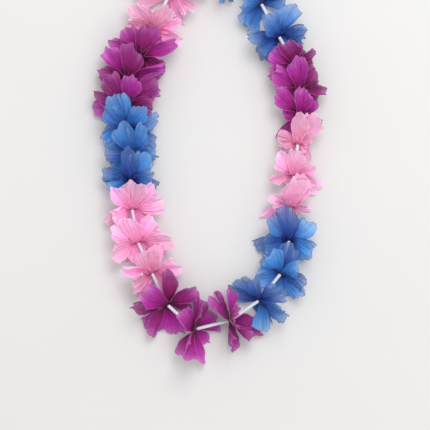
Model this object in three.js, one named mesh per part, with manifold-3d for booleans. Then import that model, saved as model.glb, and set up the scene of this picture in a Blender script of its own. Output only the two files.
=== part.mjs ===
// Flower lei: a closed string with blooms threaded on it, kept apart by short lengths of straw.
// Each bloom is two cross-shaped fabric layers of four ruffled petals, gathered at a small eyelet.
// The lei lies in its loop on a flat surface. Millimetres, +Z up, Z = 0 is the surface.
// +Y runs from the bottom of the loop to the nape. The string's route is anticlockwise from above.
import * as THREE from "three";
import { mergeVertices } from "three/addons/utils/BufferGeometryUtils.js";
import Module from "manifold-3d";

const wasm = await Module();
wasm.setup();
const SAME_POINT = 1e-4; // vertices this near are one

// ---------- driving dimensions ----------
const STRING_RADIUS = 0.5;
const STRING_HEIGHT = 14; // the string's axis above the surface
const STRING_SIDES = 6;
const STRAW_OUTER = 1.75;
const STRAW_BORE = 1.25;
const STRAW_SIDES = 6;
const EYELET_OUTER = 3; // the gathered middle of a bloom
const EYELET_BORE = 1.45;
const EYELET_HALF = 1.4; // half its length along the string
const STRAW_GAP = 0.3; // between a straw's end and the eyelet
const PETAL_LENGTH = 33;
const PETAL_WIDTH = 27; // measured flat: folding makes a petal narrower
const PETAL_THICKNESS = 0.7;
const PETAL_RUFFLE = 2.2; // height of the wave along the tip
const RUFFLE_WAVES = 1.5; // waves from one side of the tip to the other
const TIP_ROUNDING = 0.14; // share of the length that the tip's corners fall short
const WIDTH_SWEEP = 1.95; // the width follows a sine up to this angle, and is widest at four fifths
const WIDTH_GAIN = 0.15; // share of the width that is gained evenly along the length
const ROOT_TURN = 0.3; // share of the length in which a petal turns to its layer's tilt
const ROOT_FOLD = 0.3; // share of a petal's fold that is already there at the root
const PETALS_PER_LAYER = 4;
const PETAL_ROWS = [0.36, 0.72, 1]; // where a petal's blade has its points, from root to tip
const PETAL_COLUMNS = [-1, -0.33, 0.33, 1]; // and from side to side
const FREE_PITCH = 38; // blooms at least this far apart open fully
const SURFACE_SINK = 1.6; // petals would go this far below the surface, and lie flat on it instead
const PRESS_SHARPNESS = 4; // how suddenly a petal turns from its slope on to the surface
const KNOT_AFTER = 23; // the index of the bloom before the knot, which takes the place of a straw
const KNOT_SCALE = 0.8;
const KNOT_STEPS = 24;
const KNOT_TAIL = 11; // length of each cut end
const KNOT_TAIL_TURN = 52; // degrees from the knot's upward direction
const KNOT_TAIL_AT = [4.2, 3.4]; // the middle of a cut end, sideways and upwards from the knot's

// The string's route, from the start of the purple run on the left, as X, Y.
const ROUTE = [
  [-64, 116], [-77, 97], [-86, 76], [-87, 52], [-86, 30], [-83, 6], [-83, -22], [-81, -57], [-75, -92],
  [-59, -128], [-45, -158], [-12, -187], [27, -175], [58, -152], [81, -120], [87, -85], [88, -47],
  [93, -12], [96, 17], [98, 52], [97, 76], [91, 98], [77, 122], [63, 151], [38, 181], [3, 196],
  [-31, 182], [-52, 150],
];

// The runs of colour along the string: three blooms each, with the bloom-to-bloom distance as a weight
// and the share of its reach that a petal square to the string loses to creases.
const RUNS = [
  ["purple", 25, 0.08], ["blue", 26, 0.26], ["pink", 34, 0.24], ["purple", 38, 0.08], ["blue", 35, 0.18],
  ["pink", 32, 0.52], ["purple", 26, 0.46], ["blue", 38, 0.2], ["pink", 37, 0.2],
];
const BLOOMS_PER_RUN = 3;

// How each bloom lies: the side that it faces along the string (1 is onwards, -1 is back), its tilt back
// from square to the string, its roll towards the loop's outside, its spin, and how far each of its
// layers flares away from the other, in degrees.
const POSES = [
  [1, 64, -2, 56, 0], [1, 62, 0, 44, 0], [1, 63, -1, 33, 0],
  [1, 63, 2, 4, 0], [1, 64, -2, 43, 0], [1, 63, 1, 50, 0],
  [1, 66, -1, 46, 0], [1, 67, 2, 48, 0], [1, 67, -6, 50, 0],
  [1, 56, 3, 54, 0], [1, 38, 1, 76, 4], [1, 18, 8, 34, 12],
  [-1, 46, 0, -2, 2], [-1, 62, 3, -8, 0], [-1, 68, -2, 44, 0],
  [-1, 66, 2, 39, 0], [-1, 65, -2, 49, 0], [-1, 68, 2, 30, 0],
  [-1, 62, 0, 46, 0], [-1, 61, -2, 47, 0], [-1, 62, -2, 44, 0],
  [-1, 62, 3, 38, 0], [-1, 46, -3, 10, 0], [-1, 14, 0, 22, 6],
  [1, 14, 0, 22, 6], [1, 46, 3, 16, 0], [1, 62, -3, 45, 0],
];

// How far a petal stands out of its layer towards the face: at the top, at the sides and at the bottom.
const CUP_BACK = [4, 2, -4];
const CUP_FRONT = [8, 18, 7];
const CUP_UPRIGHT = 0.35; // share of it that is left on a bloom that is square to the string
// The middle value and the seeded spread of how far a petal turns along its length, in degrees,
// and of how far each side of it is folded up from its middle at the tip.
const CURL = [9, 14];
const FOLD_BACK = [10, 8];
const FOLD_FRONT = [30, 26];
// Seeded spreads to each side, in degrees and as a share of the length.
const CUP_SPREAD = 7;
const TWIST_SPREAD = 14;
const SPIN_SPREAD = 14;
const LENGTH_SPREAD = 0.17;
const WIDTH_SPREAD = 0.16;
const SKEW_SPREAD = 0.2; // one side of the tip is longer than the other
const SWAY_SPREAD = 0.18; // a petal bends to one side
// Petals near the top stand clear of the next bloom, and some of them rise, turn or fold much more.
const FREE_ANGLES = [105, 50]; // not free, and fully free, from the top
const FREE_LIFT = 55;
const FREE_TWIST = 24;
const TIGHT_FOLD = 130;
const TIGHT_DRAWS = [0.1, 0.9]; // draws between which a petal goes from open to tightly folded
const COVER_ANGLES = [12, 34]; // a petal this near the top stays open and low over the string
const CREASE_SPREAD = 0.6; // share of the crease
const CREASE_NARROW = 0.7; // how much of the crease a petal's width takes too
const CREASE_FOLD = 80; // a petal that is creased to nothing would be folded this much further
const TOP_GAIN = 0.12; // share of the length by which the petals near the top are longer
const SIDE_PUSH = 0.5; // share of the way to the side that the lowest petals of an upright bloom go

const COLOURS = {
  purple: { color: 0x9b2a8c, roughness: 0.62 },
  blue: { color: 0x2f6fc0, roughness: 0.62 },
  pink: { color: 0xf28fc0, roughness: 0.62 },
  straw: { color: 0xeef2f4, roughness: 0.3 },
  string: { color: 0xf2f0ea, roughness: 0.8 },
};

// An eyelet has a side for each petal: the two layers take the sides in turn.
const EYELET_SIDES = 2 * PETALS_PER_LAYER;
const ROOT_RADIUS = EYELET_OUTER * Math.cos(Math.PI / EYELET_SIDES);
const PETAL_ROOT_WIDTH = 2 * EYELET_OUTER * Math.sin(Math.PI / EYELET_SIDES);

// ---------- small helpers ----------
const radians = THREE.MathUtils.degToRad;
const UP = new THREE.Vector3(0, 0, 1);

// The same number between -1 and 1 for the same three whole numbers.
function draw(bloom, petal, use) {
  const wave = Math.sin(bloom * 12.9898 + petal * 78.233 + use * 37.719) * 43758.5453;
  return 2 * (wave - Math.floor(wave)) - 1;
}

function material(name) {
  return new THREE.MeshStandardMaterial({ metalness: 0, ...COLOURS[name] });
}

function solid(geometry) {
  const bare = geometry.clone();
  bare.deleteAttribute("normal");
  bare.deleteAttribute("uv");
  const merged = mergeVertices(bare, SAME_POINT);
  return new wasm.Manifold(
    new wasm.Mesh({
      numProp: 3,
      vertProperties: new Float32Array(merged.attributes.position.array),
      triVerts: new Uint32Array(merged.index.array),
    }),
  );
}

function geometryOf(manifold) {
  const mesh = manifold.getMesh();
  const geometry = new THREE.BufferGeometry();
  geometry.setAttribute("position", new THREE.BufferAttribute(mesh.vertProperties, 3));
  geometry.setIndex(new THREE.BufferAttribute(mesh.triVerts, 1));
  geometry.computeVertexNormals();
  return geometry;
}

function node(name, geometry, look) {
  const mesh = new THREE.Mesh(geometry, material(look));
  mesh.name = name;
  return mesh;
}

// A turn that takes +Z to the given direction.
function alongAxis(direction) {
  return new THREE.Matrix4().makeRotationFromQuaternion(
    new THREE.Quaternion().setFromUnitVectors(UP, direction),
  );
}

// ---------- where the blooms are ----------
const route = new THREE.CatmullRomCurve3(
  ROUTE.map(([x, y]) => new THREE.Vector3(x, y, STRING_HEIGHT)),
  true,
  "catmullrom",
  0.5,
);
route.arcLengthDivisions = 2000;

function placeBlooms() {
  const whole = BLOOMS_PER_RUN * RUNS.reduce((sum, run) => sum + run[1], 0);
  const places = [];
  let start = 0;
  for (const [colour, pitch, crease] of RUNS) {
    for (let k = 0; k < BLOOMS_PER_RUN; k++) {
      places.push({ colour, crease, at: route.getPointAt((start + (k + 0.5) * pitch) / whole) });
    }
    start += BLOOMS_PER_RUN * pitch;
  }
  return places;
}

const blooms = placeBlooms();
const count = blooms.length;
blooms.forEach((bloom, i) => {
  const next = blooms[(i + 1) % count].at;
  const last = blooms[(i + count - 1) % count].at;
  const onwards = next.clone().sub(bloom.at).normalize();
  const behind = bloom.at.clone().sub(last).normalize();
  bloom.tangent = onwards.clone().add(behind).normalize();
  bloom.onwards = onwards;
  // Crowded blooms have less room to open, and lie flatter.
  const nearest = Math.min(bloom.at.distanceTo(next), bloom.at.distanceTo(last));
  bloom.room = Math.min(1, (nearest / FREE_PITCH) ** 2);
});

// ---------- a petal ----------
// Directions that a bloom's layer is built on: out (towards the loop's outside), top and face.
function layerFrame(tangent, [side, tilt, roll]) {
  const back = radians(tilt);
  const out = new THREE.Vector3().crossVectors(tangent, UP);
  const top = UP.clone().multiplyScalar(Math.cos(back)).addScaledVector(tangent, -side * Math.sin(back));
  const face = tangent.clone().multiplyScalar(side * Math.cos(back)).addScaledVector(UP, Math.sin(back));
  const frame = { out, top, face, upright: UP.clone() };
  for (const key in frame) frame[key].applyAxisAngle(tangent, radians(roll));
  return frame;
}

// The direction that lies at an angle from one direction towards another.
function turned(from, towards, angle) {
  return from.clone().multiplyScalar(Math.cos(angle)).addScaledVector(towards, Math.sin(angle));
}

// All that shapes one petal, worked out once. Angles are measured from the top, towards the outside.
function petalPlan(index, layer, k) {
  const bloom = blooms[index];
  const [side, tilt, roll, spin, flare] = POSES[index];
  const id = layer * PETALS_PER_LAYER + k;
  const { out, top, face, upright } = layerFrame(bloom.tangent, [side, tilt, roll]);
  const rootTurn = spin + ((2 * k + layer) * 360) / EYELET_SIDES;
  let turn = rootTurn + SPIN_SPREAD * draw(index, id, 1);
  turn = THREE.MathUtils.euclideanModulo(turn + 180, 360) - 180;
  // An upright bloom has no room under it, so its lowest petals are pushed out to the sides.
  const low = Math.max(0, Math.abs(turn) - 90);
  turn = Math.sign(turn) * (Math.abs(turn) - SIDE_PUSH * Math.cos(radians(tilt)) * low);
  const angle = radians(turn);
  const [cupTop, cupSide, cupBottom] = layer ? CUP_FRONT : CUP_BACK;
  const [foldMiddle, foldSpread] = layer ? FOLD_FRONT : FOLD_BACK;
  const [shut, open] = FREE_ANGLES;
  const free = 1 - THREE.MathUtils.smoothstep(Math.abs(turn), open, shut);
  const clear = THREE.MathUtils.smoothstep(Math.abs(turn), ...COVER_ANGLES);
  const lean = Math.sin(radians(tilt));
  const lift = layer * FREE_LIFT * free * clear * lean * Math.max(0, draw(index, id, 8)) ** 2;
  const tight = free * clear * THREE.MathUtils.smoothstep(draw(index, id, 9), ...TIGHT_DRAWS);
  const opening = (CUP_UPRIGHT + (1 - CUP_UPRIGHT) * lean) * (layer ? bloom.room : 1);
  const upwards = Math.cos(angle);
  const cup =
    THREE.MathUtils.lerp(cupSide, upwards > 0 ? cupTop : cupBottom, Math.abs(upwards)) * opening +
    CUP_SPREAD * bloom.room * draw(index, id, 2) +
    lift +
    (layer ? flare : -flare);
  const creased = bloom.crease * Math.abs(Math.sin(angle));
  const crease = creased * (1 + CREASE_SPREAD * draw(index, id, 20));
  const longer = TOP_GAIN * free * lean;
  const curl = radians(CURL[0] + CURL[1] * draw(index, id, 3)) * bloom.room * (layer ? 1 : -1);
  const fold = foldMiddle + foldSpread * draw(index, id, 7) + CREASE_FOLD * creased;
  const rootAngle = radians(rootTurn);
  return {
    root: bloom.at
      .clone()
      .addScaledVector(turned(upright, out, rootAngle), ROOT_RADIUS)
      .addScaledVector(bloom.tangent, (side * (layer ? 1 : -1) * EYELET_HALF) / 2),
    rootAcross: turned(out, upright, -rootAngle),
    along: turned(top, out, angle),
    across: turned(out, top, -angle),
    side,
    face,
    cup: radians(cup),
    curl,
    twist: radians((TWIST_SPREAD + FREE_TWIST * free) * bloom.room * draw(index, id, 4)),
    skew: SKEW_SPREAD * draw(index, id, 17),
    sway: SWAY_SPREAD * PETAL_LENGTH * draw(index, id, 18),
    length: PETAL_LENGTH * (1 + LENGTH_SPREAD * draw(index, id, 5)) * (1 - crease) * (1 + longer),
    width: PETAL_WIDTH * (1 + WIDTH_SPREAD * draw(index, id, 19)) * (1 - CREASE_NARROW * creased),
    fold: radians(THREE.MathUtils.lerp(fold, TIGHT_FOLD, tight)),
    flip: draw(index, id, 6) < 0 ? -1 : 1,
  };
}

// Presses what would go under the surface flat on to it, and keeps the order of what lies above.
function pressed(point) {
  const below = STRING_HEIGHT - point.z;
  if (below > 0) {
    const room = STRING_HEIGHT + SURFACE_SINK;
    point.z = STRING_HEIGHT - below / (1 + (below / room) ** PRESS_SHARPNESS) ** (1 / PRESS_SHARPNESS);
  }
  return point;
}

// A point of a petal's middle surface: v runs from root to tip, and u from side to side, -1 to 1.
function petalPoint(plan, u, v) {
  const t = v * (1 - TIP_ROUNDING * u * u * v + plan.skew * u * v);
  const widening = Math.sin(WIDTH_SWEEP * v) * (1 - WIDTH_GAIN + WIDTH_GAIN * v);
  const half = PETAL_ROOT_WIDTH / 2 + ((plan.width - PETAL_ROOT_WIDTH) / 2) * widening;
  const bend = plan.cup + plan.curl * t;
  const forward = (plan.length * (Math.sin(bend) - Math.sin(plan.cup))) / plan.curl;
  const rise = (plan.length * (Math.cos(plan.cup) - Math.cos(bend))) / plan.curl;
  const normal = turned(plan.face, plan.along, -bend);
  // The root lies square to the string, and the blade turns from it into the layer's own tilt.
  const across = plan.rootAcross.clone().lerp(plan.across, Math.min(1, v / ROOT_TURN)).normalize();
  const side = turned(across, normal, plan.twist * t);
  const wave = PETAL_RUFFLE * plan.flip * v * v * Math.cos(RUFFLE_WAVES * Math.PI * (u + 1));
  // Across, the petal is an arc that closes up towards the tip.
  const fold = plan.fold * (ROOT_FOLD + (1 - ROOT_FOLD) * v);
  const sideways = (half * Math.sin(fold * u)) / fold + plan.sway * v * v;
  const raised = (half * (1 - Math.cos(fold * u))) / fold;
  return pressed(
    plan.root
      .clone()
      .addScaledVector(plan.along, forward)
      .addScaledVector(plan.face, rise)
      .addScaledVector(side, sideways)
      .addScaledVector(normal, wave + raised),
  );
}

// Square to the middle surface, on the side that the bloom faces.
function petalNormal(plan, u, v) {
  const step = 0.02;
  const across = petalPoint(plan, u + step, v).sub(petalPoint(plan, u - step, v));
  const along = petalPoint(plan, u, v + step).sub(petalPoint(plan, u, v - step));
  return across.cross(along).normalize().multiplyScalar(-plan.side);
}

// One fabric layer with its half of the eyelet, as one closed shell that the petals grow out of.
// Points come in pairs, first the one on the side that the bloom faces.
function layerSolid(index, layer) {
  const { at, tangent } = blooms[index];
  const [side, , roll, spin] = POSES[index];
  const { out, upright } = layerFrame(tangent, [side, 0, roll]);
  const points = [];
  const faces = [];
  const rim = [];
  const addPair = (upper, lower) => points.push(upper, lower) - 2;
  const quad = (a, b, c, d) => faces.push([a, b, c], [a, c, d]);
  const corner = (radius, i) => {
    const angle = radians(spin) + ((2 * i - 1) * Math.PI) / EYELET_SIDES;
    const point = at.clone().addScaledVector(turned(upright, out, angle), radius);
    const ends = [layer, layer - 1].map((end) =>
      point.clone().addScaledVector(tangent, side * end * EYELET_HALF),
    );
    return addPair(...ends);
  };
  const corners = [...Array(EYELET_SIDES).keys()];
  const bore = corners.map((i) => corner(EYELET_BORE, i));
  const outer = corners.map((i) => corner(EYELET_OUTER, i));
  corners.forEach((i) => {
    const j = (i + 1) % EYELET_SIDES;
    quad(bore[i], bore[j], outer[j], outer[i]);
    rim.push(outer[i]);
    if (i % 2 === layer) {
      const plan = petalPlan(index, layer, (i - layer) / 2);
      rim.push(...growPetal(plan, outer[i], outer[j], addPair, faces));
    }
  });
  const under = faces.map(([a, b, c]) => [a + 1, c + 1, b + 1]);
  const wall = (loop) => loop.flatMap((a, i) => {
    const b = loop[(i + 1) % loop.length];
    return [[a, b, b + 1], [a, b + 1, a + 1]];
  });
  return closedSolid(points, [...faces, ...under, ...wall(rim), ...wall([...bore].reverse())]);
}

// Adds a petal to a layer, on the eyelet's side between two corners, and returns its edge.
function growPetal(plan, left, right, addPair, faces) {
  const rows = PETAL_ROWS.map((v) =>
    PETAL_COLUMNS.map((u) => addPair(...shellPair(petalPoint(plan, u, v), petalNormal(plan, u, v)))),
  );
  // The narrow root opens out into the three strips of the blade.
  const [a, b, c, d] = rows[0];
  faces.push([left, b, a], [left, right, b], [right, c, b], [right, d, c]);
  for (let r = 0; r + 1 < rows.length; r++) {
    const [here, there] = [rows[r], rows[r + 1]];
    for (let i = 0; i + 1 < here.length; i++) {
      faces.push([here[i], here[i + 1], there[i + 1]], [here[i], there[i + 1], there[i]]);
    }
  }
  const tip = rows[rows.length - 1];
  return [
    ...rows.map((row) => row[0]),
    ...tip.slice(1, -1),
    ...rows.map((row) => row[row.length - 1]).reverse(),
  ];
}

// The two sides of the fabric at a point. What touches the surface is flat there.
function shellPair(middle, normal) {
  const half = normal.multiplyScalar(PETAL_THICKNESS / 2);
  const upper = middle.clone().add(half);
  const lower = middle.clone().sub(half);
  const [high, low] = upper.z > lower.z ? [upper, lower] : [lower, upper];
  low.z = Math.max(low.z, 0);
  high.z = Math.max(high.z, low.z + PETAL_THICKNESS / 2, PETAL_THICKNESS);
  return [upper, lower];
}

function closedSolid(points, faces) {
  const geometry = new THREE.BufferGeometry();
  geometry.setAttribute(
    "position",
    new THREE.Float32BufferAttribute(points.flatMap((p) => [p.x, p.y, p.z]), 3),
  );
  geometry.setIndex(faces.flat());
  const made = solid(geometry);
  return made.volume() < 0 ? solid(turnedInsideOut(geometry)) : made;
}

function turnedInsideOut(geometry) {
  const turned = geometry.clone();
  const index = turned.index.array;
  for (let i = 0; i < index.length; i += 3) [index[i], index[i + 1]] = [index[i + 1], index[i]];
  return turned;
}

// A ring round the string, as a lathe profile that closes on itself.
function ring(inner, outer, length, sides) {
  const half = length / 2;
  const profile = [
    [inner, -half], [outer, -half], [outer, half], [inner, half], [inner, -half],
  ].map(([r, y]) => new THREE.Vector2(r, y));
  return new THREE.LatheGeometry(profile, sides).rotateX(Math.PI / 2);
}

function placed(geometry, centre, direction) {
  return geometry.applyMatrix4(alongAxis(direction)).translate(centre.x, centre.y, centre.z);
}

// ---------- the pieces ----------
function makeBloom(index) {
  const { colour } = blooms[index];
  const made = layerSolid(index, 0).add(layerSolid(index, 1));
  const name = `bloom_${String(index + 1).padStart(2, "0")}_${colour}`;
  return node(name, geometryOf(made), colour);
}

// Where a straw ends, from a bloom's middle: clear of the eyelet where the string bends.
function strawStart(bloom, straight) {
  const cosine = bloom.tangent.dot(straight);
  return (EYELET_HALF + STRAW_GAP + STRAW_OUTER * Math.sqrt(Math.max(0, 1 - cosine ** 2))) / cosine;
}

function makeStraw(index) {
  const bloom = blooms[index];
  const next = blooms[(index + 1) % count];
  const from = bloom.at.clone().addScaledVector(bloom.onwards, strawStart(bloom, bloom.onwards));
  const to = next.at.clone().addScaledVector(bloom.onwards, -strawStart(next, bloom.onwards));
  const tube = ring(STRAW_BORE, STRAW_OUTER, from.distanceTo(to), STRAW_SIDES);
  const middle = from.add(to).multiplyScalar(0.5);
  return node(`straw_${String(index + 1).padStart(2, "0")}`, placed(tube, middle, bloom.onwards), "straw");
}

// The string runs straight through each straw and bends inside the blooms. It closes in a knot.
function makeString() {
  const sides = STRING_SIDES;
  const points = [];
  const faces = [];
  blooms.forEach(({ at, tangent, onwards }, i) => {
    // A mitred section, square to the middle of the bend, so that the string keeps its width.
    const out = new THREE.Vector3().crossVectors(tangent, UP);
    const mitre = STRING_RADIUS / tangent.dot(onwards);
    for (let s = 0; s < sides; s++) {
      const turn = (2 * Math.PI * s) / sides;
      points.push(
        at
          .clone()
          .addScaledVector(out, mitre * Math.cos(turn))
          .addScaledVector(UP, STRING_RADIUS * Math.sin(turn)),
      );
      const [here, there] = [i * sides, ((i + 1) % count) * sides];
      const next = (s + 1) % sides;
      faces.push([here + s, there + s, here + next], [here + next, there + s, there + next]);
    }
  });
  return node("string", geometryOf(closedSolid(points, faces).add(knotSolid())), "string");
}

class TrefoilCurve extends THREE.Curve {
  getPoint(t, target = new THREE.Vector3()) {
    const a = 2 * Math.PI * t;
    const r = KNOT_SCALE * (2 + Math.cos(3 * a));
    return target.set(r * Math.cos(2 * a), KNOT_SCALE * Math.sin(3 * a), r * Math.sin(2 * a));
  }
}

function knotSolid() {
  const middle = blooms[KNOT_AFTER].at.clone().lerp(blooms[KNOT_AFTER + 1].at, 0.5);
  const loops = new THREE.TubeGeometry(new TrefoilCurve(), KNOT_STEPS, STRING_RADIUS, STRING_SIDES, true);
  const [sideways, upwards] = KNOT_TAIL_AT;
  const tails = [-1, 1].map((side) =>
    new THREE.CylinderGeometry(STRING_RADIUS, STRING_RADIUS, KNOT_TAIL, STRING_SIDES)
      .rotateZ(side * radians(KNOT_TAIL_TURN))
      .translate(side * sideways, upwards, 0),
  );
  return [loops, ...tails]
    .map((geometry) => solid(geometry.translate(middle.x, middle.y, middle.z)))
    .reduce((made, piece) => made.add(piece));
}

// ---------- the lei ----------
const lei = new THREE.Group();
lei.add(makeString());
blooms.forEach((_, i) => {
  lei.add(makeBloom(i));
  if (i !== KNOT_AFTER) lei.add(makeStraw(i));
});

export default lei;
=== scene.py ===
"""Artificial flower lei: sheer fabric blooms on a closed string, with short straws between them.

Metres, +Z up, in the frame of the solids: the lei lies in its loop, with +Y towards the nape.
A bloom has two layers of petals: the back one is layer 0 and the front one is layer 1.
"""
import math

import bpy
import numpy as np
from mathutils import Matrix, Vector


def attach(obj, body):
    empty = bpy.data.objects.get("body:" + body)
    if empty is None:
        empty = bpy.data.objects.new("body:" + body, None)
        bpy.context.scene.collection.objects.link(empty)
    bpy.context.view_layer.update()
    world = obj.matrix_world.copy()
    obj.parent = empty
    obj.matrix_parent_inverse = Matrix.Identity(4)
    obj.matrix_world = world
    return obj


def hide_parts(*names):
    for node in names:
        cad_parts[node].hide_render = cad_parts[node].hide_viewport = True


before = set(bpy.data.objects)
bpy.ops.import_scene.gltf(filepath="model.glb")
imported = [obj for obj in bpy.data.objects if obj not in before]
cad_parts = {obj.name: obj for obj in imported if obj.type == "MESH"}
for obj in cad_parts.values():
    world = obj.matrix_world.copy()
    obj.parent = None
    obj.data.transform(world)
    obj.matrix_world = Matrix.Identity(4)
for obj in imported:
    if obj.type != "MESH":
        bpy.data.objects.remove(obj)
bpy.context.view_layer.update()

MM = 0.001

# ---------- driving dimensions, as in the solids ----------
STRING_RADIUS = 0.5 * MM
STRING_HEIGHT = 14 * MM
STRAW_RADIUS = 1.75 * MM
EYELET_RADIUS = 3 * MM
EYELET_HALF = 1.4 * MM
STRAW_GAP = 0.3 * MM  # between an eyelet and a straw
PETALS_PER_LAYER = 4
EYELET_SIDES = 2 * PETALS_PER_LAYER
ROOT_RADIUS = EYELET_RADIUS * math.cos(math.pi / EYELET_SIDES)
ROOT_WIDTH = 2 * EYELET_RADIUS * math.sin(math.pi / EYELET_SIDES)
PETAL_LENGTH = 33 * MM
PETAL_WIDTH = 27 * MM
PETAL_RUFFLE = 2.2 * MM
RUFFLE_WAVES = 1.5  # over the width
TIP_ROUNDING = 0.14
WIDTH_SWEEP = 1.95  # radians of the sine that a petal's width follows
WIDTH_GAIN = 0.15
ROOT_TURN = 0.3  # share of the length over which a petal turns from its root's direction to its own
ROOT_FOLD = 0.3  # share of its fold that a petal has at the root
FREE_PITCH = 38 * MM  # distance between blooms from which their petals have all their room
PRESS_SHARPNESS = 4
KNOT_AFTER = 23
KNOT_SCALE = 0.8 * MM
KNOT_TAIL = 11 * MM
KNOT_TAIL_TURN = 52  # degrees
KNOT_TAIL_AT = (4.2 * MM, 3.4 * MM)

# The string's route in millimetres.
ROUTE = [
    (-64, 116), (-77, 97), (-86, 76), (-87, 52), (-86, 30), (-83, 6), (-83, -22),
    (-81, -57), (-75, -92), (-59, -128), (-45, -158), (-12, -187), (27, -175), (58, -152),
    (81, -120), (87, -85), (88, -47), (93, -12), (96, 17), (98, 52), (97, 76),
    (91, 98), (77, 122), (63, 151), (38, 181), (3, 196), (-31, 182), (-52, 150),
]
ROUTE_STEPS = 4000

# Colour, distance between blooms as a weight, and the share of its length that a petal which
# points straight out or in loses to creases.
RUNS = [
    ("purple", 25, 0.08), ("blue", 26, 0.26), ("pink", 34, 0.24),
    ("purple", 38, 0.08), ("blue", 35, 0.18), ("pink", 32, 0.52),
    ("purple", 26, 0.46), ("blue", 38, 0.2), ("pink", 37, 0.2),
]
BLOOMS_PER_RUN = 3

# A bloom each: 1 if it faces along the string and -1 if against it, and in degrees its tilt back,
# its roll, its spin, and how much further its two layers are opened.
POSES = [
    (1, 64, -2, 56, 0), (1, 62, 0, 44, 0), (1, 63, -1, 33, 0),
    (1, 63, 2, 4, 0), (1, 64, -2, 43, 0), (1, 63, 1, 50, 0),
    (1, 66, -1, 46, 0), (1, 67, 2, 48, 0), (1, 67, -6, 50, 0),
    (1, 56, 3, 54, 0), (1, 38, 1, 76, 4), (1, 18, 8, 34, 12),
    (-1, 46, 0, -2, 2), (-1, 62, 3, -8, 0), (-1, 68, -2, 44, 0),
    (-1, 66, 2, 39, 0), (-1, 65, -2, 49, 0), (-1, 68, 2, 30, 0),
    (-1, 62, 0, 46, 0), (-1, 61, -2, 47, 0), (-1, 62, -2, 44, 0),
    (-1, 62, 3, 38, 0), (-1, 46, -3, 10, 0), (-1, 14, 0, 22, 6),
    (1, 14, 0, 22, 6), (1, 46, 3, 16, 0), (1, 62, -3, 45, 0),
]

# How far a petal stands out of its layer at the top, at the sides and at the bottom, in degrees.
CUP_BACK = (4, 2, -4)
CUP_FRONT = (8, 18, 7)
CUP_UPRIGHT = 0.35  # share of that in a bloom that isn't tilted
# Middle and spread, in degrees, of the bend along a petal and of the fold across it.
CURL = (9, 14)
FOLD_BACK = (10, 8)
FOLD_FRONT = (30, 26)
# Spreads in degrees.
CUP_SPREAD = 7
TWIST_SPREAD = 14
SPIN_SPREAD = 14
# Spreads as shares.
LENGTH_SPREAD = 0.17
WIDTH_SPREAD = 0.16
SKEW_SPREAD = 0.2
SWAY_SPREAD = 0.18
# A petal near the top has nothing over it, so it is free to stand up, twist and fold tight.
FREE_ANGLES = (105, 50)  # from the top: not free, and fully free
FREE_LIFT = 55
FREE_TWIST = 24
TIGHT_FOLD = 130
TIGHT_DRAWS = (0.1, 0.9)  # draws with which a petal isn't folded tight, and fully is
COVER_ANGLES = (12, 34)  # from the top: lies flat over the straw, and is free to stand up
# A petal that creases shorten is narrower too, and folded more.
CREASE_SPREAD = 0.6
CREASE_NARROW = 0.7
CREASE_FOLD = 80
TOP_GAIN = 0.12  # share by which a top petal is longer
SIDE_PUSH = 0.5  # share by which a low petal of an upright bloom is pushed round to the side

# ---------- what only the fine fabric has ----------
FABRIC = 0.26 * MM  # thickness
LOWEST = 0.35 * MM  # how low a petal's middle surface is pressed
COLUMNS = 44  # cells across a petal
ROWS = 20  # cells along it
GAP_COLUMNS = 4  # cells round the eyelet between two petals' roots
# Waves over a petal's width, and their height.
PLEATS = [(6, 0.36 * MM), (11, 0.18 * MM)]
PLEATS_WHOLE = 0.6  # share of the length at which the pleats have come up
PLEATS_LOW = 0.6  # share of their height that they would have at the root
# Radians over a petal of two waves that cross, and their height.
CRINKLES = [(5.0, 7.0, 0.6 * MM), (12.0, 9.0, 0.42 * MM)]
# Waves of the tip's edge over a petal's width, and their share of the length.
LOBES = [(1.6, 0.036), (2.7, 0.026)]
FRILL = 0.75 * MM  # wave round a petal's edge
FRILL_SPREAD = 0.5
FRILL_WAVES = 4.6
NOTCHES = 4.5
NOTCH_DEPTH = 0.022  # share of the length
FILLET = 2.2 * MM  # how much wider a petal is near its root, where it joins its neighbours
FILLET_AT = 0.07
SIDE_WAVE = 0.06  # share of the width
SIDE_WAVES = 7  # radians along a petal
# The gather's rings: shares of its radius and half length.
COLLAR = [(1.0, 0.5), (0.7, 0.62), (0.3, 1.0)]
GATHER_PLEATS = 12
GATHER_DEPTH = 0.06  # share of the radius
GATHER_FROM_EDGE = 5.0  # the gather has no edge: it is this far from one, in millimetres
SHARP_ANGLE = 50  # degrees between two faces, above which their edge is shaded sharp
STRAW_WALL = 0.2 * MM
STRAW_SIDES = 24
STRAW_ROWS = 8
STRAW_PINCH = 0.02
THREAD_SIDES = 12
THREAD_STEP = 0.4 * MM
THREAD_END = 0.45  # share of the radius at a cut end
THREAD_END_STEP = 0.25  # share that each ring from there adds
PLIES = 2
PLY_PITCH = 2.6 * MM
PLY_DEPTH = 0.12  # share of the radius
BEND_REACH = 2.4 * MM  # how far from a bloom's middle the string starts to bend
KNOT_STEPS = 90

# ---------- the photograph's view ----------
PHOTO_SIDE = 430  # pixels
PHOTO_SCALE = 1.0636 * MM  # to a pixel, at the string
PHOTO_MIDDLE = (7.4 * MM, -64.6 * MM)  # what the picture's middle shows
CAMERA_HEIGHT = 2.2
SENSOR = 36  # millimetres
FLOOR_SIZE = 8
FLOOR_GRAIN = 40.0
WORLD_LIGHT = 0.88
# Name, place, size and watts.
LAMPS = [
    ("key", (0.35, 0.85, 1.6), 0.9, 20),
    ("fill", (0.5, -0.9, 1.6), 1.6, 5),
]

UP = np.array([0.0, 0.0, 1.0])


# ---------- small helpers ----------
def draw(bloom, petal, use):
    """The same number between -1 and 1 for the same three whole numbers."""
    wave = math.sin(bloom * 12.9898 + petal * 78.233 + use * 37.719) * 43758.5453
    return 2 * (wave - math.floor(wave)) - 1


def unit(vector):
    """A vector, or each vector of an array, made 1 long."""
    return vector / np.linalg.norm(vector, axis=-1, keepdims=True)


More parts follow.
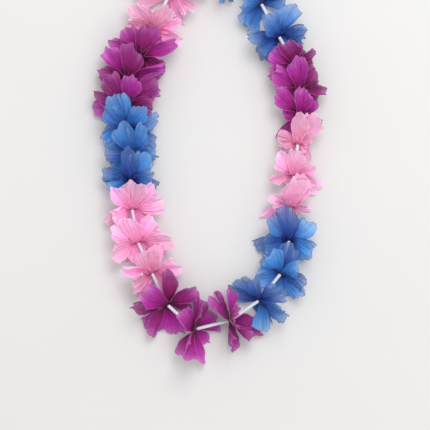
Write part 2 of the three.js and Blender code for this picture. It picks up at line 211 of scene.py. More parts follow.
def turned(start, towards, angle):
    """The direction that lies at an angle from one direction towards another."""
    angle = np.asarray(angle)[..., None]
    return start * np.cos(angle) + towards * np.sin(angle)


def smooth_step(x, low, high):
    """0 at low, 1 at high, and a smooth rise between them."""
    t = np.clip((x - low) / (high - low), 0, 1)
    return t * t * (3 - 2 * t)


# ---------- where the blooms are ----------
def route_points():
    """The closed uniform Catmull-Rom curve through ROUTE, evenly sampled by parameter."""
    knots = np.array([(x * MM, y * MM, STRING_HEIGHT) for x, y in ROUTE])
    count = len(knots)
    where = np.arange(ROUTE_STEPS) * count / ROUTE_STEPS
    i = where.astype(int)
    t = (where - i)[:, None]
    before, here, there, after = (knots[(i + k) % count] for k in (-1, 0, 1, 2))
    slope_here = 0.5 * (there - before)
    slope_there = 0.5 * (after - here)
    square = 3 * (there - here) - 2 * slope_here - slope_there
    cube = 2 * (here - there) + slope_here + slope_there
    return here + slope_here * t + square * t**2 + cube * t**3


def place_blooms():
    """Each bloom's colour, creases, middle, directions along the string and room for its petals."""
    points = route_points()
    closed = np.vstack([points, points[:1]])
    run = np.concatenate([[0], np.cumsum(np.linalg.norm(np.diff(closed, axis=0), axis=1))])
    whole = BLOOMS_PER_RUN * sum(pitch for _, pitch, _ in RUNS)
    places = []
    start = 0
    for colour, pitch, crease in RUNS:
        for k in range(BLOOMS_PER_RUN):
            goal = (start + (k + 0.5) * pitch) / whole * run[-1]
            at = np.array([np.interp(goal, run, closed[:, axis]) for axis in range(3)])
            places.append({"colour": colour, "crease": crease, "at": at})
        start += BLOOMS_PER_RUN * pitch
    for i, bloom in enumerate(places):
        ahead = places[(i + 1) % len(places)]["at"] - bloom["at"]
        behind = bloom["at"] - places[i - 1]["at"]
        bloom["onwards"] = unit(ahead)
        bloom["tangent"] = unit(unit(ahead) + unit(behind))
        nearest = min(np.linalg.norm(ahead), np.linalg.norm(behind))
        bloom["room"] = min(1.0, (nearest / FREE_PITCH) ** 2)
    return places


BLOOMS = place_blooms()


# ---------- a petal ----------
def layer_frame(tangent, side, tilt, roll):
    """Directions that a layer is built on: out, top and face, and upright, which isn't tilted."""
    back = math.radians(tilt)
    out = np.cross(tangent, UP)
    top = UP * math.cos(back) - tangent * side * math.sin(back)
    face = tangent * side * math.cos(back) + UP * math.sin(back)
    turn = np.array(Matrix.Rotation(math.radians(roll), 3, Vector(tangent)))
    return [turn @ direction for direction in (out, top, face, UP)]


def petal_plan(index, layer, k):
    """All that shapes one petal. Angles are measured from the top, towards the outside."""
    bloom = BLOOMS[index]
    side, tilt, roll, spin, flare = POSES[index]
    number = layer * PETALS_PER_LAYER + k
    end = 1 if layer else -1
    out, top, face, upright = layer_frame(bloom["tangent"], side, tilt, roll)
    root_turn = spin + (2 * k + layer) * 360 / EYELET_SIDES
    turn = (root_turn + SPIN_SPREAD * draw(index, number, 1) + 180) % 360 - 180
    low = max(0, abs(turn) - 90)
    turn = math.copysign(abs(turn) - SIDE_PUSH * math.cos(math.radians(tilt)) * low, turn)
    angle = math.radians(turn)
    cup_top, cup_side, cup_bottom = CUP_FRONT if layer else CUP_BACK
    fold_middle, fold_spread = FOLD_FRONT if layer else FOLD_BACK
    shut, wide = FREE_ANGLES
    free = 1 - float(smooth_step(abs(turn), wide, shut))
    lean = math.sin(math.radians(tilt))
    clear = float(smooth_step(abs(turn), *COVER_ANGLES))
    lift = layer * FREE_LIFT * free * clear * lean * max(0, draw(index, number, 8)) ** 2
    tight = free * clear * float(smooth_step(draw(index, number, 9), *TIGHT_DRAWS))
    opening = CUP_UPRIGHT + (1 - CUP_UPRIGHT) * lean
    opening *= bloom["room"] if layer else 1
    upwards = math.cos(angle)
    cup = cup_side + ((cup_top if upwards > 0 else cup_bottom) - cup_side) * abs(upwards)
    cup = cup * opening + CUP_SPREAD * bloom["room"] * draw(index, number, 2)
    cup += lift + (flare if layer else -flare)
    curl = math.radians(CURL[0] + CURL[1] * draw(index, number, 3)) * bloom["room"] * end
    twist = (TWIST_SPREAD + FREE_TWIST * free) * bloom["room"] * draw(index, number, 4)
    creased = bloom["crease"] * abs(math.sin(angle))
    fold = fold_middle + fold_spread * draw(index, number, 7) + CREASE_FOLD * creased
    length = PETAL_LENGTH * (1 + LENGTH_SPREAD * draw(index, number, 5))
    length *= 1 + TOP_GAIN * free * lean
    width = PETAL_WIDTH * (1 + WIDTH_SPREAD * draw(index, number, 19))
    root_angle = math.radians(root_turn)
    return {
        "index": index,
        "number": number,
        "root": bloom["at"]
        + turned(upright, out, root_angle) * ROOT_RADIUS
        + bloom["tangent"] * (side * end * EYELET_HALF / 2),
        "root_across": turned(out, upright, -root_angle),
        "along": turned(top, out, angle),
        "across": turned(out, top, -angle),
        "face": face,
        "cup": math.radians(cup),
        "curl": curl,
        "twist": math.radians(twist),
        "skew": SKEW_SPREAD * draw(index, number, 17),
        "sway": SWAY_SPREAD * PETAL_LENGTH * draw(index, number, 18),
        "length": length * (1 - creased * (1 + CREASE_SPREAD * draw(index, number, 20))),
        "width": width * (1 - CREASE_NARROW * creased),
        "fold": math.radians(fold * (1 - tight) + TIGHT_FOLD * tight),
        "flip": -1 if draw(index, number, 6) < 0 else 1,
    }


def pressed(points):
    """Presses what would go under the surface on to it, and keeps the order of what lies above."""
    below = np.maximum(STRING_HEIGHT - points[..., 2], 0)
    room = STRING_HEIGHT - LOWEST
    flatter = below / (1 + (below / room) ** PRESS_SHARPNESS) ** (1 / PRESS_SHARPNESS)
    points[..., 2] = np.where(below > 0, STRING_HEIGHT - flatter, points[..., 2])
    return points


def relief(plan, u, v):
    """How far the fabric stands off the smooth petal: its pleats fan out from the root, its
    crinkles grow towards the tip, and a frill runs round its edge."""
    index, number = plan["index"], plan["number"]
    pleats = np.zeros_like(u)
    for use, (turns, deep) in enumerate(PLEATS, start=10):
        pleats += deep * np.cos(turns * math.pi * u + math.pi * draw(index, number, use))
    pleats *= smooth_step(v, 0.0, PLEATS_WHOLE)
    phase = math.pi * draw(index, number, 12)
    crinkle = sum(
        deep * np.sin(across * u + along * v + phase) * np.cos(across * v - along * u + phase)
        for across, along, deep in CRINKLES
    )
    tip, sides = v**4, np.abs(u) ** 3
    near_edge = v * (tip + sides - tip * sides)
    frill = FRILL * (1 + FRILL_SPREAD * draw(index, number, 21))
    frill = frill * np.sin(FRILL_WAVES * math.pi * u * v + phase)
    return pleats * (PLEATS_LOW + (1 - PLEATS_LOW) * v) + crinkle * v + frill * near_edge


def petal_points(plan, u, v):
    """The middle surface: v runs from root to tip, 0 to 1, and u from side to side, -1 to 1."""
    index, number = plan["index"], plan["number"]
    notch_phase = math.pi * draw(index, number, 13)
    lobes = NOTCH_DEPTH * np.abs(np.sin(NOTCHES * math.pi * u / 2 + notch_phase))
    for use, (turns, deep) in enumerate(LOBES, start=14):
        lobes = lobes + deep * np.cos(turns * math.pi * u + math.pi * draw(index, number, use))
    t = v * (1 - TIP_ROUNDING * u**2 * v + plan["skew"] * u * v + lobes * v**3)
    widening = np.sin(WIDTH_SWEEP * v) * (1 - WIDTH_GAIN + WIDTH_GAIN * v)
    half = ROOT_WIDTH / 2 + (plan["width"] - ROOT_WIDTH) / 2 * widening
    half = half + FILLET * v / FILLET_AT * np.exp(1 - v / FILLET_AT)
    side_phase = math.pi * draw(index, number, 20)
    half = half * (1 + SIDE_WAVE * v * np.sin(SIDE_WAVES * v + side_phase) * u)
    bend = plan["cup"] + plan["curl"] * t
    forward = plan["length"] * (np.sin(bend) - math.sin(plan["cup"])) / plan["curl"]
    rise = plan["length"] * (math.cos(plan["cup"]) - np.cos(bend)) / plan["curl"]
    normal = turned(plan["face"], plan["along"], -bend)
    turning = np.clip(v / ROOT_TURN, 0, 1)[..., None]
    across = unit(plan["root_across"] * (1 - turning) + plan["across"] * turning)
    side = turned(across, normal, plan["twist"] * t)
    wave = PETAL_RUFFLE * plan["flip"] * v**2 * np.cos(RUFFLE_WAVES * math.pi * (u + 1))
    fold = plan["fold"] * (ROOT_FOLD + (1 - ROOT_FOLD) * v)
    sideways = half * np.sin(fold * u) / fold + plan["sway"] * v**2
    raised = half * (1 - np.cos(fold * u)) / fold + wave + relief(plan, u, v)
    return pressed(
        plan["root"]
        + plan["along"] * forward[..., None]
        + plan["face"] * rise[..., None]
        + side * sideways[..., None]
        + normal * raised[..., None]
    )


# ---------- a bloom ----------
def past_root(*values):
    """A petal's values as a list of points, without the root, which is part of the gather."""
    return np.stack(values, axis=-1)[1:].reshape(-1, 3)


def layer_sheet(index, layer):
    """One fabric layer as a sheet: its points, its four-sided faces and its material's data.

    The data are "petal", with u, v and the petal's tone, and "fabric", with the millimetres from
    the middle line, from the root and from the nearest edge.
    """
    bloom = BLOOMS[index]
    side, _, roll, spin, _ = POSES[index]
    out, _, _, upright = layer_frame(bloom["tangent"], side, 0, roll)
    axis = bloom["tangent"] * (side * (1 if layer else -1) * EYELET_HALF)
    u_line = np.linspace(-1, 1, COLUMNS + 1)
    v_line = np.linspace(0, 1, ROWS + 1)
    u, v = np.meshgrid(u_line, v_line)
    half_turn = math.pi / EYELET_SIDES

    blades, angles = [], []
    for k in range(PETALS_PER_LAYER):
        plan = petal_plan(index, layer, k)
        blades.append((plan, petal_points(plan, u, v)))
        start = math.radians(spin) + (2 * k + layer) * 2 * math.pi / EYELET_SIDES
        root_angles = start + np.arctan(np.tan(half_turn) * u_line)
        gap_angles = np.linspace(start + half_turn, start + 3 * half_turn, GAP_COLUMNS + 1)[1:-1]
        angles.extend([*root_angles, *gap_angles])
    angles = np.array(angles)
    around = turned(upright, out, angles)
    pleated = 1 + GATHER_DEPTH * np.cos(GATHER_PLEATS * angles)
    rings = []
    for share, reach in COLLAR:
        radius = EYELET_RADIUS * share * (pleated if share < 1 else 1)
        radii = np.broadcast_to(radius, angles.shape)[:, None]
        rings.append(bloom["at"] + around * radii + axis * reach)
    # The petals' roots take the place of the outer ring's points there.
    for k, (_, points) in enumerate(blades):
        first = k * (COLUMNS + GAP_COLUMNS)
        rings[0][first : first + COLUMNS + 1] = points[0]

    ring_size = len(angles)
    vertices = [*rings]
    petal_data = [np.zeros((ring_size, 3)) for _ in rings]
    fabric_data = [np.full((ring_size, 3), (0.0, 0.0, GATHER_FROM_EDGE)) for _ in rings]
    faces = []
    here = np.arange(ring_size)
    there = (here + 1) % ring_size
    for ring in range(len(rings) - 1):
        inner, outer = (ring + 1) * ring_size, ring * ring_size
        corners = [inner + here, inner + there, outer + there, outer + here]
        faces.append(np.stack(corners, axis=1))
    base = len(rings) * ring_size
    for k, (plan, points) in enumerate(blades):
        first = k * (COLUMNS + GAP_COLUMNS)
        ids = np.vstack([
            first + np.arange(COLUMNS + 1),
            base + np.arange(ROWS * (COLUMNS + 1)).reshape(ROWS, COLUMNS + 1),
        ])
        base += ROWS * (COLUMNS + 1)
        vertices.append(points[1:].reshape(-1, 3))
        corners = [ids[:-1, :-1], ids[:-1, 1:], ids[1:, 1:], ids[1:, :-1]]
        faces.append(np.stack(corners, axis=-1).reshape(-1, 4))
        tone = np.full_like(u, draw(plan["index"], plan["number"], 16))
        petal_data.append(past_root(u, v, tone))
        widths = np.linalg.norm(points[:, -1] - points[:, 0], axis=1)[:, None] / MM
        from_side = (1 - np.abs(u)) * np.maximum(widths, 1) / 2
        edge = np.minimum(from_side, (1 - v) * plan["length"] / MM)
        fabric_data.append(past_root(u * widths / 2, v * plan["length"] / MM, edge))
    return (
        np.vstack(vertices),
        np.vstack(faces),
        {"petal": np.vstack(petal_data), "fabric": np.vstack(fabric_data)},
    )


def thickened(points, faces, data, thickness):
    """A closed shell from an open sheet: two copies of it, and a wall along its rims."""
    a, b, c, d = (points[faces[:, k]] for k in range(4))
    across = np.cross(c - a, d - b)
    normals = np.zeros_like(points)
    for k in range(4):
        np.add.at(normals, faces[:, k], across)
    normals = unit(normals)
    upper = points + normals * thickness / 2
    lower = points - normals * thickness / 2
    for shell in (upper, lower):
        shell[:, 2] = np.maximum(shell[:, 2], 0)
    edges = np.concatenate([faces[:, [k, (k + 1) % 4]] for k in range(4)])
    count = len(points)
    keys = edges[:, 0].astype(np.int64) * count + edges[:, 1]
    rim = edges[~np.isin(keys, edges[:, 1].astype(np.int64) * count + edges[:, 0])]
    wall = np.stack([rim[:, 0], rim[:, 0] + count, rim[:, 1] + count, rim[:, 1]], axis=1)
    shell_faces = np.vstack([faces, faces[:, ::-1] + count, wall])
    shell_data = {name: np.vstack([values, values]) for name, values in data.items()}
    return np.vstack([upper, lower]), shell_faces.tolist(), shell_data


def joined(parts):
    """One set of points, faces and data from several."""
    faces = []
    offset = 0
    for points, part_faces, _ in parts:
        faces += [[i + offset for i in face] for face in part_faces]
        offset += len(points)
    data = {name: np.vstack([part[2][name] for part in parts]) for name in parts[0][2]}
    return np.vstack([part[0] for part in parts]), faces, data


def mesh_object(name, points, faces, data):
    """A smooth shaded object whose points carry the data that its material reads."""
    mesh = bpy.data.meshes.new(name)
    mesh.from_pydata(points.tolist(), [], faces)
    for key, values in data.items():
        attribute = mesh.attributes.new(key, "FLOAT_VECTOR", "POINT")
        attribute.data.foreach_set("vector", values.astype(np.float32).ravel())
    mesh.shade_smooth()
    mesh.set_sharp_from_angle(angle=math.radians(SHARP_ANGLE))
    piece = bpy.data.objects.new(name, mesh)
    bpy.context.scene.collection.objects.link(piece)
    return piece


# ---------- materials ----------
def linear(red, green, blue):
    """A colour that a picture shows, 0 to 255, as Blender's linear values."""
    values = [c / 255 for c in (red, green, blue)]
    return (*(c / 12.92 if c <= 0.04045 else ((c + 0.055) / 1.055) ** 2.4 for c in values), 1)


class Look:
    """A material, with short calls that add its nodes."""

    def __init__(self, name):
        self.material = bpy.data.materials.new(name)
        self.material.use_nodes = True
        self.nodes = self.material.node_tree.nodes
        self.links = self.material.node_tree.links
        self.nodes.clear()

    def put(self, socket, value):
        """Gives an input its value, or links it to another node's output."""
        if isinstance(value, bpy.types.NodeSocket):
            self.links.new(value, socket)
        else:
            socket.default_value = value

    def add(self, kind, settings=None, **inputs):
        """A new node. Its inputs are given by name, with _ for a space, or as _0, _1 by number."""
        node = self.nodes.new(kind)
        for key, value in (settings or {}).items():
            setattr(node, key, value)
        for key, value in inputs.items():
            self.put(node.inputs[int(key[1:]) if key[0] == "_" else key.replace("_", " ")], value)
        return node

    def math(self, operation, first, second):
        node = self.add("ShaderNodeMath", {"operation": operation}, _0=first, _1=second)
        return node.outputs[0]

    def times(self, first, second):
        return self.math("MULTIPLY", first, second)

    def plus(self, first, second):
        return self.math("ADD", first, second)

    def ranged(self, value, low, high, to_low, to_high):
        """A smooth step from to_low at low to to_high at high."""
        node = self.add("ShaderNodeMapRange", {"interpolation_type": "SMOOTHSTEP"}, Value=value)
        limits = {"From Min": low, "From Max": high, "To Min": to_low, "To Max": to_high}
        for key, limit in limits.items():
            self.put(node.inputs[key], limit)
        return node.outputs[0]

    def mixed(self, share, first, second):
        """A colour between two others."""
        node = self.add("ShaderNodeMix", {"data_type": "RGBA"}, _0=share, _6=first, _7=second)
        return node.outputs[2]

    def parts(self, attribute):
        """The three numbers of one of the mesh's attributes."""
        vector = self.add("ShaderNodeAttribute", {"attribute_name": attribute}).outputs["Vector"]
        return self.add("ShaderNodeSeparateXYZ", None, Vector=vector).outputs

    def noise(self, x, y, z, scale=1.0, detail=2.0):
        vector = self.add("ShaderNodeCombineXYZ", None, X=x, Y=y, Z=z).outputs[0]
        node = self.add("ShaderNodeTexNoise", None, Vector=vector, Scale=scale, Detail=detail)
        return node.outputs[0]

    def bump(self, height, strength, distance, **inputs):
        node = self.add(
            "ShaderNodeBump", None, Height=height, Strength=strength, Distance=distance, **inputs
        )
        return node.outputs[0]

    def surface(self, **inputs):
        return self.add("ShaderNodeBsdfPrincipled", None, **inputs).outputs[0]

    def blend(self, share, first, second):
        """A shader between two others."""
        return self.add("ShaderNodeMixShader", None, _0=share, _1=first, _2=second).outputs[0]

    def done(self, shader):
        """The finished material."""
        self.add("ShaderNodeOutputMaterial", None, Surface=shader)
        return self.material


FABRIC_COLOURS = {
    "purple": {
        "deep": linear(92, 2, 58),
        "main": linear(160, 22, 130),
        "light": linear(184, 56, 166),
        "tip": linear(202, 110, 192),
        "edge": linear(196, 110, 184),
    },
    "blue": {
        "deep": linear(26, 62, 146),
        "main": linear(62, 128, 204),
        "light": linear(100, 168, 228),
        "tip": linear(138, 182, 226),
        "edge": linear(44, 84, 158),
    },
    "pink": {
        "deep": linear(248, 142, 202),
        "main": linear(254, 178, 224),
        "light": linear(254, 200, 236),
        "tip": linear(254, 212, 240),
        "edge": linear(255, 222, 242),
    },
}
# Where each colour lies, from a petal's root to its tip.
COLOURS_AT = {"deep": 0.05, "main": 0.38, "light": 0.75, "tip": 1.0}
# How see-through the fabric is at a petal's root and tip, and the share of it that glows with the
# light from behind.
SHEERNESS = {"purple": (0.05, 0.32, 0.25), "blue": (0.1, 0.5, 0.3), "pink": (0.14, 0.36, 0.3)}
SHEER_FROM, SHEER_TO = 0.1, 1.05  # shares of the length between which it grows
# How dark and how light the petals get: painted shading and painted light on whole petals.
PAINTED_SHADING_RANGE = {"purple": (0.74, 1.2), "blue": (0.72, 1.2), "pink": (0.9, 1.08)}
TONE_SHARE = 0.5  # of a petal's tone, which is added to its fibres to give its painted shading and light
HUES = (0.522, 0.494)  # from the petals with the darkest tone to those with the lightest
PATTERN_STEP = 50.0  # how far apart in the noise two petals lie whose tones differ by 1
NOISE_MIDDLE = 0.5
NOISE_SPAN = (0.3, 0.7)  # most of the noise lies between these
# Patches of noise over half a petal's width and over its length.
RIBS = (6.5, 1.6)
FIBRES = (23.0, 2.5)
# Patches of noise to a millimetre across and along it.
WEAVE = (3.0, 0.8)
CREASES = (0.2, 0.14)
RIB_SHARE = 0.42  # share of the length by which the ribs shift the colours
EDGE_FROM, EDGE_TO = 0.15, 0.75  # millimetres in from the edge, between which its colour fades
EDGE_SHARE = 0.6  # how much of that colour the edge has
EDGE_SHEER = 0.45  # share of its sheerness that the fabric keeps at the edge
# How much of the fine bump the fibres and the weave make.
FIBRE_HEIGHT = 0.7
WEAVE_HEIGHT = 0.3
# Strength and distance of a bump.
GRAIN_BUMP = (0.5, 0.35 * MM)
CREASE_BUMP = (0.4, 4 * MM)
STRAW_BUMP = (0.25, 0.1 * MM)
THREAD_BUMP = (0.4, 0.08 * MM)
# Patches of noise over half a tube's width, and to a millimetre along it.
STRAW_LINES = (20.0, 0.6)
THREAD_FIBRES = (9.0, 2.0)
STRAW_CLOUDS = 2.0  # scale of the noise, and its third coordinate
STRAW_CLOUDS_AT = 3.0
STRAW_ROUGHNESS = (0.16, 0.3)


def fabric_material(colour):
    """Sheer pressed fabric: deep at the root, paler and more see-through towards the tip, with a
    fine edge of a colour of its own."""
    look = Look(f"{colour}_sheer_fabric")
    shades = FABRIC_COLOURS[colour]
    root_through, tip_through, glow_share = SHEERNESS[colour]
    across, reach, tone = look.parts("petal")
    sideways, along, edge = look.parts("fabric")
    seed = look.times(tone, PATTERN_STEP)

    def pattern(x, y, patches, detail=2.0):
        x, y = look.times(x, patches[0]), look.times(y, patches[1])
        return look.noise(x, y, seed, detail=detail)

    ribs = pattern(across, reach, RIBS, detail=3.0)
    fibres = pattern(across, reach, FIBRES)
    ribbed = look.plus(reach, look.times(look.math("SUBTRACT", ribs, NOISE_MIDDLE), RIB_SHARE))
    ramp = look.add("ShaderNodeValToRGB", None, Fac=ribbed)
    stops = ramp.color_ramp.elements
    for stop, name in zip(stops, ("deep", "tip")):
        stop.position, stop.color = COLOURS_AT[name], shades[name]
    for name in ("main", "light"):
        stops.new(COLOURS_AT[name]).color = shades[name]
    # Painted shading and painted light: each petal is darkened or lightened at random, as if shaded
    # or lit, and streaked by its fibres.
    fibres_and_painted_shading = look.ranged(look.plus(look.times(tone, TONE_SHARE), fibres), 0.0, 1.0, *PAINTED_SHADING_RANGE[colour])
    hue = look.ranged(tone, -1.0, 1.0, *HUES)
    toned = look.add("ShaderNodeHueSaturation", None, Color=ramp.outputs[0], Hue=hue, Value=fibres_and_painted_shading)
    rim = look.ranged(edge, EDGE_FROM, EDGE_TO, 1.0, 0.0)
    # The edge's own colour over the fabric's colour, which carries the painted shading and light.
    dye_and_painted_shading = look.mixed(look.times(rim, EDGE_SHARE), toned.outputs[0], shades["edge"])
    through = look.ranged(ribbed, SHEER_FROM, SHEER_TO, root_through, tip_through)
    through = look.times(through, look.ranged(rim, 0.0, 1.0, 1.0, EDGE_SHEER))
    weave = pattern(sideways, along, WEAVE, detail=1.0)
    height = look.plus(look.times(fibres, FIBRE_HEIGHT), look.times(weave, WEAVE_HEIGHT))
    creases = pattern(sideways, along, CREASES, detail=3.0)
    bump = look.bump(height, *GRAIN_BUMP, Normal=look.bump(creases, *CREASE_BUMP))
    cloth = look.surface(
        Base_Color=dye_and_painted_shading, Roughness=0.62, Specular_IOR_Level=0.28,
        Sheen_Weight=0.1, Sheen_Roughness=0.45, Normal=bump,
    )
    glow = look.add("ShaderNodeBsdfTranslucent", None, Color=dye_and_painted_shading, Normal=bump).outputs[0]
    solid = look.blend(glow_share, cloth, glow)
    clear = look.add("ShaderNodeBsdfTransparent").outputs[0]
    return look.done(look.blend(through, solid, clear))


def straw_material():
    """Translucent white plastic with fine drawing lines along it."""
    look = Look("straw_plastic")
    around, _, along = look.parts("round")
    lines = look.noise(look.times(around, STRAW_LINES[0]), look.times(along, STRAW_LINES[1]), 0.0)
    clouds = look.noise(along, around, STRAW_CLOUDS_AT, scale=STRAW_CLOUDS)
    colour = look.mixed(lines, linear(214, 220, 232), linear(245, 247, 252))
    bump = look.bump(lines, *STRAW_BUMP)
    roughness = look.ranged(clouds, *NOISE_SPAN, *STRAW_ROUGHNESS)
    return look.done(
        look.surface(
            Base_Color=colour, Roughness=roughness, IOR=1.49, Alpha=0.72,
            Coat_Weight=0.3, Normal=bump,
        )
    )


def thread_material():
    """White twisted polyester thread."""
    look = Look("white_thread")
    around, _, along = look.parts("round")
    around, along = look.times(around, THREAD_FIBRES[0]), look.times(along, THREAD_FIBRES[1])
    fibres = look.noise(around, along, 0.0, detail=3.0)
    colour = look.mixed(fibres, linear(214, 210, 202), linear(248, 246, 240))
    bump = look.bump(fibres, *THREAD_BUMP)
    return look.done(
        look.surface(Base_Color=colour, Roughness=0.8, Sheen_Weight=0.3, Normal=bump)
    )


# ---------- tubes ----------
def swept(centres, firsts, seconds, radii, closed):
    """A tube of rings, each with its centre, two directions across, and a radius for every side.

    A closed tube's last ring is joined to its first. An open tube has flat ends.
    """
    rows, sides = radii.shape
    turn = np.linspace(0, 2 * math.pi, sides, endpoint=False)[None, :]
    rings = (
        centres[:, None]
        + firsts[:, None] * (radii * np.cos(turn))[..., None]
        + seconds[:, None] * (radii * np.sin(turn))[..., None]
    )
    row = np.arange(rows if closed else rows - 1)[:, None]
    column = np.arange(sides)[None, :]
    here, there = row * sides, (row + 1) % rows * sides
    after = (column + 1) % sides
    corners = [here + column, there + column, there + after, here + after]
    faces = np.stack(corners, axis=-1).reshape(-1, 4).tolist()
    if not closed:
        faces += [list(range(sides)), list(range(rows * sides - 1, (rows - 1) * sides - 1, -1))]
    run = np.concatenate([[0], np.cumsum(np.linalg.norm(np.diff(centres, axis=0), axis=1))]) / MM
    data = np.stack(np.broadcast_arrays(np.cos(turn), np.sin(turn), run[:, None]), axis=-1)
    return rings.reshape(-1, 3), faces, {"round": data.reshape(-1, 3)}


def twisted_thread(points, closed):
    """A thread of twisted plies along a path. A cut end is rounded off."""
    ahead = np.roll(points, -1, axis=0) - np.roll(points, 1, axis=0)
    if not closed:
        ahead[0], ahead[-1] = points[1] - points[0], points[-1] - points[-2]
    tangents = unit(ahead)
    firsts = [unit(np.cross(tangents[0], UP))]
    for tangent in tangents[1:]:
        firsts.append(unit(firsts[-1] - tangent * np.dot(firsts[-1], tangent)))
    firsts = np.array(firsts)
    steps = np.linalg.norm(np.diff(np.vstack([points, points[:1]]), axis=0), axis=1)
    run = np.concatenate([[0], np.cumsum(steps)])
    turns = max(1, round(run[-1] / PLY_PITCH))
    twist = (run[:-1] / run[-1] * turns * 2 * math.pi)[:, None]
    turn = np.linspace(0, 2 * math.pi, THREAD_SIDES, endpoint=False)[None, :]
    radii = STRING_RADIUS * (1 - PLY_DEPTH + PLY_DEPTH * np.cos(PLIES * (turn - twist)))
    if not closed:
        from_end = np.minimum(np.arange(len(points)), np.arange(len(points))[::-1])[:, None]
        radii = radii * np.clip(THREAD_END + THREAD_END_STEP * from_end, 0, 1)
    return swept(points, firsts, np.cross(tangents, firsts), radii, closed)


# ---------- the pieces ----------
def add_piece(piece, slot, material, *nodes):
    """Gives a piece its material, hangs it on the root body and hides the solids' parts that it
    stands for.
    """
    piece.data.materials.append(material)
    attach(piece, "root")
    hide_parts(*nodes)


def make_bloom(index, materials):
    """A bloom's two layers of fabric as one piece."""
    colour = BLOOMS[index]["colour"]
    shells = [thickened(*layer_sheet(index, layer), FABRIC) for layer in (0, 1)]
    piece = mesh_object(f"petals_{index + 1:02d}_{colour}", *joined(shells))
    add_piece(piece, f"{colour}_petal", materials[colour], f"bloom_{index + 1:02d}_{colour}")


def straw_start(bloom, straight):
    """How far from a bloom's middle a straw ends: clear of the eyelet where the string bends."""
    cosine = float(np.dot(bloom["tangent"], straight))
    return (EYELET_HALF + STRAW_GAP + STRAW_RADIUS * math.sqrt(max(0.0, 1 - cosine**2))) / cosine


def make_straw(index, material):
    """A straw as a thin wall: its outside from end to end, and its inside back again."""
    bloom, following = BLOOMS[index], BLOOMS[(index + 1) % len(BLOOMS)]
    along = bloom["onwards"]
    start = bloom["at"] + along * straw_start(bloom, along)
    end = following["at"] - along * straw_start(following, along)
    outside = np.linspace(0, 1, STRAW_ROWS)
    places = np.concatenate([outside, outside[::-1]])
    radii = np.repeat([STRAW_RADIUS, STRAW_RADIUS - STRAW_WALL], STRAW_ROWS)
    centres = start + (end - start) * places[:, None]
    first = unit(np.cross(along, UP))
    firsts = np.broadcast_to(first, centres.shape)
    seconds = np.broadcast_to(np.cross(along, first), centres.shape)
    turn = np.linspace(0, 2 * math.pi, STRAW_SIDES, endpoint=False)[None, :]
    # Each straw is pinched a little out of round.
    pinch = 1 + STRAW_PINCH * np.cos(2 * turn + math.pi * draw(index, 0, 20))
    points, faces, data = swept(centres, firsts, seconds, radii[:, None] * pinch, True)
    piece = mesh_object(f"straw_tube_{index + 1:02d}", points, faces, data)
    add_piece(piece, "straw", material, f"straw_{index + 1:02d}")


def string_path():
    """Straight through each straw and gently bent inside each bloom."""
    corners = np.array([bloom["at"] for bloom in BLOOMS])
    closed = np.vstack([corners, corners[:1]])
    run = np.concatenate([[0], np.cumsum(np.linalg.norm(np.diff(closed, axis=0), axis=1))])
    where = np.arange(0, run[-1], THREAD_STEP)
    points = np.stack([np.interp(where, run, closed[:, axis]) for axis in range(3)], axis=1)
    reach = round(BEND_REACH / THREAD_STEP)
    shifted = [np.roll(points, shift, axis=0) for shift in range(-reach, reach + 1)]
    return sum(shifted) / len(shifted)


def knot_paths():
    """The knot as a closed trefoil, and its two cut ends."""
    middle = (BLOOMS[KNOT_AFTER]["at"] + BLOOMS[KNOT_AFTER + 1]["at"]) / 2
    a = np.linspace(0, 2 * math.pi, KNOT_STEPS, endpoint=False)
    radius = KNOT_SCALE * (2 + np.cos(3 * a))
    x, y, z = radius * np.cos(2 * a), KNOT_SCALE * np.sin(3 * a), radius * np.sin(2 * a)
    trefoil = middle + np.stack([x, y, z], axis=1)
    lean = math.radians(KNOT_TAIL_TURN)
    tails = []
    for side in (-1, 1):
        centre = middle + np.array([side * KNOT_TAIL_AT[0], KNOT_TAIL_AT[1], 0])
        direction = np.array([-side * math.sin(lean), math.cos(lean), 0])
        steps = np.arange(-KNOT_TAIL / 2, KNOT_TAIL / 2, THREAD_STEP)[:, None]
        tails.append(centre + direction * steps)
    return trefoil, tails


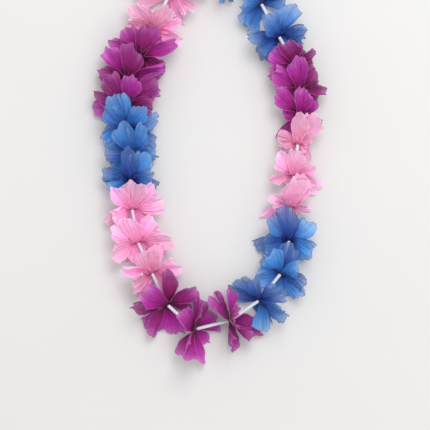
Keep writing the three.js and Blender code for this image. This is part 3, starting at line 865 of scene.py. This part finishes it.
def make_thread(material):
    """The string and its knot as one piece."""
    trefoil, tails = knot_paths()
    parts = [twisted_thread(string_path(), True), twisted_thread(trefoil, True)]
    parts += [twisted_thread(tail, False) for tail in tails]
    add_piece(mesh_object("thread", *joined(parts)), "string", material, "string")


# ---------- the room ----------
def make_stage():
    """A plain pale floor, even light from all sides and two large lamps."""
    bpy.ops.mesh.primitive_plane_add(size=FLOOR_SIZE)
    floor = bpy.context.object
    floor.name = "floor"
    look = Look("pale_floor")
    grain = look.add("ShaderNodeTexNoise", None, Scale=FLOOR_GRAIN, Detail=2.0).outputs[0]
    colour = look.mixed(grain, linear(203, 202, 201), linear(207, 206, 205))
    floor.data.materials.append(look.done(look.surface(Base_Color=colour, Roughness=0.9)))
    world = bpy.data.worlds.new("studio")
    world.use_nodes = True
    background = world.node_tree.nodes["Background"]
    background.inputs["Color"].default_value = (1, 1, 1, 1)
    background.inputs["Strength"].default_value = WORLD_LIGHT
    bpy.context.scene.world = world
    for name, place, size, power in LAMPS:
        data = bpy.data.lights.new(name, "AREA")
        data.size = size
        data.energy = power
        lamp = bpy.data.objects.new(name, data)
        lamp.location = place
        lamp.rotation_euler = (-Vector(place)).to_track_quat("-Z", "Y").to_euler()
        bpy.context.scene.collection.objects.link(lamp)
    bpy.context.scene.view_settings.view_transform = "Standard"


def make_camera():
    """Straight above the part of the lei that the photograph shows."""
    data = bpy.data.cameras.new("camera")
    data.sensor_width = SENSOR
    data.lens = SENSOR * (CAMERA_HEIGHT - STRING_HEIGHT) / (PHOTO_SIDE * PHOTO_SCALE)
    camera = bpy.data.objects.new("camera", data)
    camera.location = (*PHOTO_MIDDLE, CAMERA_HEIGHT)
    bpy.context.scene.collection.objects.link(camera)
    bpy.context.scene.camera = camera


make_camera()
make_stage()
fabrics = {name: fabric_material(name) for name in FABRIC_COLOURS}
straw_look = straw_material()
for bloom_index in range(len(BLOOMS)):
    make_bloom(bloom_index, fabrics)
    if bloom_index != KNOT_AFTER:
        make_straw(bloom_index, straw_look)
make_thread(thread_material())
